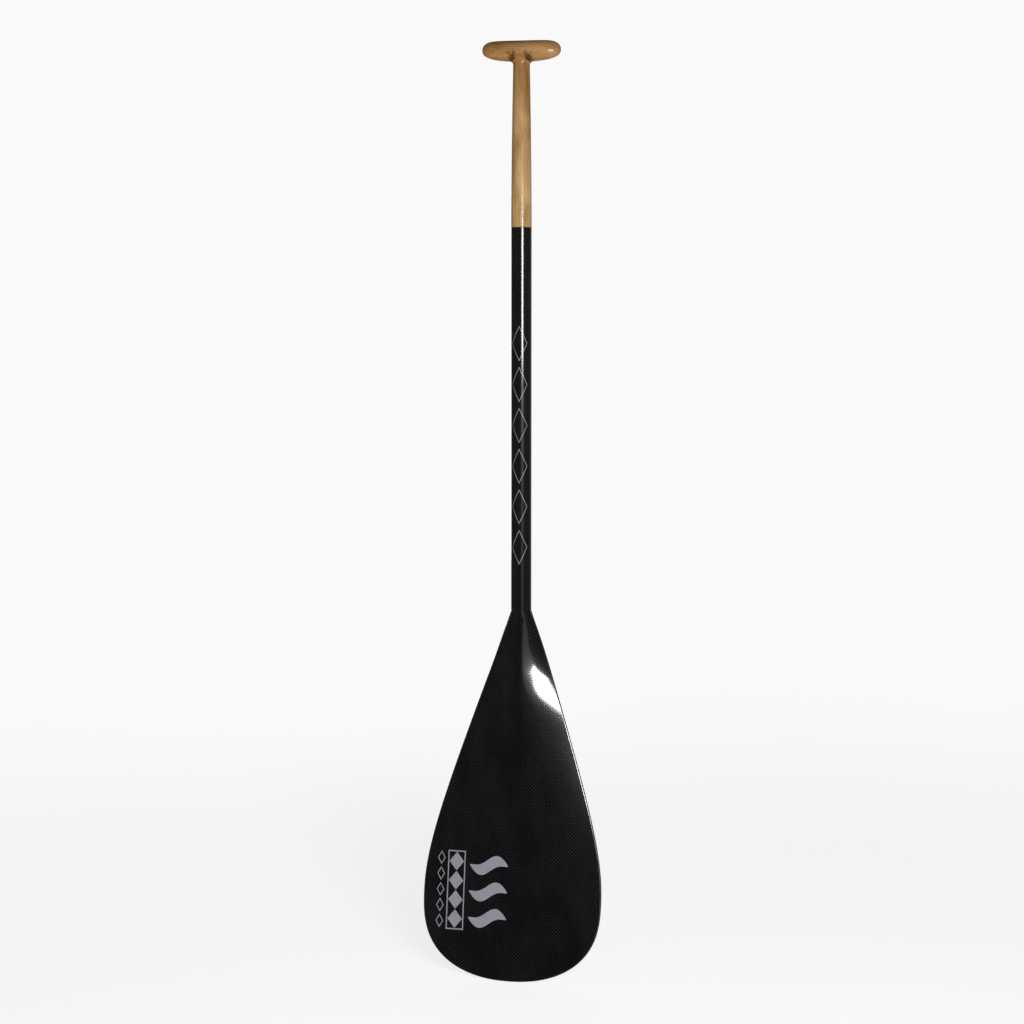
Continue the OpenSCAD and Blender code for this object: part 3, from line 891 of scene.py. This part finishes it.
def pale_floor():
    """A pale disc just under the blade's tip that fades into the room."""
    mesh = bpy.data.meshes.new("floor")
    turn = np.linspace(0, 2 * math.pi, FLOOR_SIDES, endpoint=False)
    mesh.from_pydata([(FLOOR_R * math.cos(a), FLOOR_R * math.sin(a), 0) for a in turn], [],
                     [range(FLOOR_SIDES)])
    floor = bpy.data.objects.new("floor", mesh)
    floor.location = (0, 0, cad_box[0][2] - FLOOR_GAP)
    bpy.context.scene.collection.objects.link(floor)
    s = Shader("floor_pale", Base_Color=(0.35, 0.35, 0.35, 1), Roughness=0.9,
               Specular_IOR_Level=0.0, Emission_Color=(1, 1, 1, 1), Emission_Strength=0.79)
    x, y, _ = s.split(s.place)
    s.set("Alpha", s.remap(s.radius(x, y), 0.3, 2.5, 1.0, 0.0, kind="SMOOTHERSTEP"))
    mesh.materials.append(s.material)
    floor.visible_glossy = False


def softbox(name, azimuth, height, distance, width, tall, radiance, aim_height):
    """A rectangular area light seen at an azimuth round the shaft, facing the shaft's axis."""
    light = bpy.data.lights.new(name, "AREA")
    light.shape = "RECTANGLE"
    light.size, light.size_y = width, tall
    light.energy = radiance * width * tall * 4
    made = bpy.data.objects.new(name, light)
    a = math.radians(azimuth)
    made.location = (distance * math.sin(a), -distance * math.cos(a), height)
    made.rotation_mode = "QUATERNION"
    made.rotation_quaternion = (made.location - Vector((0, 0, aim_height))).to_track_quat("Z", "Y")
    made.visible_camera = False
    bpy.context.scene.collection.objects.link(made)


KEY_AZIMUTH = 24.1
FILL, FILL_SIDES, FILL_ABOVE, PALE = 0.73, 0.25, 0.12, 0.95
DIM, DIM_SIDES, DIM_BACK = 0.006, 0.08, (0.08, 0.50)
CAMERA_AZIMUTH, CAMERA_ELEVATION, CAMERA_DISTANCE = math.radians(12.66), math.radians(6.0), 3.0
CAMERA_LENS, CAMERA_AIM_X = 76.95, -0.01305


def room():
    """The room is pale to the camera and dim in the gloss: dimmest in front, with a soft rise
    behind from left to right. It lights matt surfaces less from above and from the sides,
    least from the left."""
    world = bpy.data.worlds.new("room")
    bpy.context.scene.world = world
    world.use_nodes = True
    tree = world.node_tree
    background = tree.nodes["Background"]
    path = tree.nodes.new("ShaderNodeLightPath")
    way = tree.nodes.new("ShaderNodeSeparateXYZ")
    tree.links.new(tree.nodes.new("ShaderNodeTexCoord").outputs["Generated"], way.inputs[0])

    def off(middle):
        """How far a direction lies to the side of a middle one."""
        away = tree.nodes.new("ShaderNodeMath")
        away.operation = "SUBTRACT"
        tree.links.new(way.outputs[0], away.inputs[0])
        away.inputs[1].default_value = middle
        side = tree.nodes.new("ShaderNodeMath")
        side.operation = "ABSOLUTE"
        tree.links.new(away.outputs[0], side.inputs[0])
        return side.outputs[0]

    def fade(value, start, end, at_start, at_end):
        made = tree.nodes.new("ShaderNodeMapRange")
        for i, item in enumerate((value, start, end, at_start, at_end)):
            if isinstance(item, bpy.types.NodeSocket):
                tree.links.new(item, made.inputs[i])
            else:
                made.inputs[i].default_value = item
        return made.outputs[0]

    front = fade(off(0.2), 0.3, 0.95, FILL, FILL_SIDES * FILL)
    above = fade(off(0.2), 0.3, 0.95, FILL_ABOVE * FILL, FILL_SIDES * FILL_ABOVE * FILL)
    matt = fade(way.outputs[2], 0.0, 0.6, front, above)
    gloss = fade(off(0.0), 0.2, 0.7, DIM, DIM_SIDES)
    behind = fade(way.outputs[0], -0.22, 0.22, *DIM_BACK)
    gloss = fade(way.outputs[1], 0.5, 0.95, gloss, behind)
    level = fade(path.outputs["Is Glossy Ray"], 0.0, 1.0, matt, gloss)
    level = fade(path.outputs["Is Camera Ray"], 0.0, 1.0, level, PALE)
    tree.links.new(level, background.inputs["Strength"])
    background.inputs["Color"].default_value = (1, 1, 1, 1)


def camera():
    low, high = cad_box
    target = Vector((CAMERA_AIM_X, 0, (low[2] + high[2]) / 2))
    level = math.cos(CAMERA_ELEVATION)
    back = Vector((math.sin(CAMERA_AZIMUTH) * level, -math.cos(CAMERA_AZIMUTH) * level,
                   math.sin(CAMERA_ELEVATION)))
    data = bpy.data.cameras.new("camera")
    data.sensor_width = 36
    data.lens = CAMERA_LENS
    made = bpy.data.objects.new("camera", data)
    made.rotation_mode = "QUATERNION"
    made.location = target + back * CAMERA_DISTANCE
    made.rotation_quaternion = back.to_track_quat("Z", "Y")
    bpy.context.scene.collection.objects.link(made)
    bpy.context.scene.camera = made


pale_floor()
room()
softbox("key", KEY_AZIMUTH, height=0.192, distance=2.17, width=0.58, tall=0.38, radiance=38,
        aim_height=0.192)
softbox("bounce", KEY_AZIMUTH, height=-0.31, distance=2.17, width=0.95, tall=0.6, radiance=0.43,
        aim_height=-0.31)
softbox("fill_back", 205, height=0.2, distance=2.4, width=1.0, tall=1.4, radiance=1.6,
        aim_height=0)
camera()
bpy.context.scene.view_settings.view_transform = "Standard"
